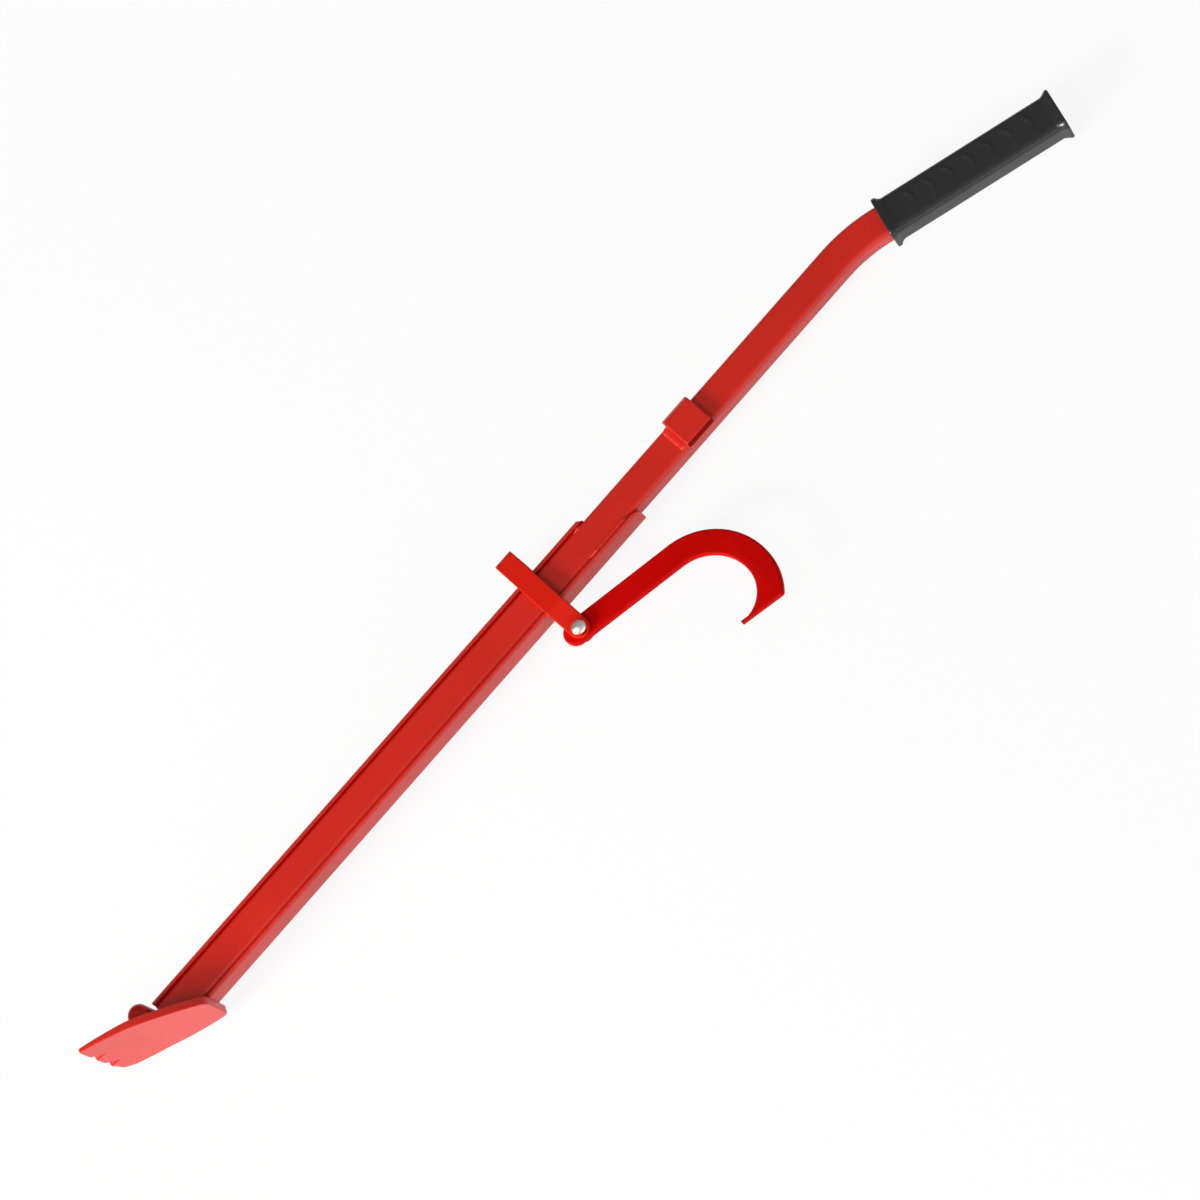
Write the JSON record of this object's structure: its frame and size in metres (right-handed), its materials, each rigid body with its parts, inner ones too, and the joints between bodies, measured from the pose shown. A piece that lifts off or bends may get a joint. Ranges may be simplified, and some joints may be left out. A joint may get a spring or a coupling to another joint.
{
  "type": "cant hook",
  "caption": "Short steel felling lever with a flared toothed foot, a sliding collar that carries a turning cant hook, and a moulded grip on a bent handle.",
  "frame": {"origin": "centre of the foot's flat sole, where the lever's centre line meets it", "axes": "+X along the straight lever towards the grip, +Y in the lever's plane away from the hook, +Z to the open front of the channel"},
  "size_m": [0.7977, 0.1477, 0.0604],
  "materials": {
    "red_paint": "gloss",
    "hook_paint": "gloss",
    "grip_rubber": "satin",
    "zinc": "satin"
  },
  "bodies": {
    "lever": {"handle_tube": "red_paint", "outer_channel": "red_paint", "foot_plate": "red_paint", "foot_stop_bar": "red_paint", "slide_stop": "red_paint", "grip": "grip_rubber", "foot_weld_front": "red_paint", "foot_weld_back": "red_paint", "stop_bar_weld": "red_paint", "slide_stop_weld": "red_paint", "channel_weld_left": "red_paint", "channel_weld_right": "red_paint"},
    "collar": {"collar_strap": "red_paint", "pivot_rivet": "zinc"},
    "hook": {"hook": "hook_paint"}
  },
  "joints": [
    {"name": "collar_slide", "type": "slide", "parent": "lever", "child": "collar", "axis": [1, 0, 0], "range_m": [-0.298, 0.112]},
    {"name": "hook_swing", "type": "hinge", "parent": "collar", "child": "hook", "pos_m": [0.3445, -0.0325, 0], "axis": [0, 0, 1], "range_deg": [-141, 20]}
  ]
}
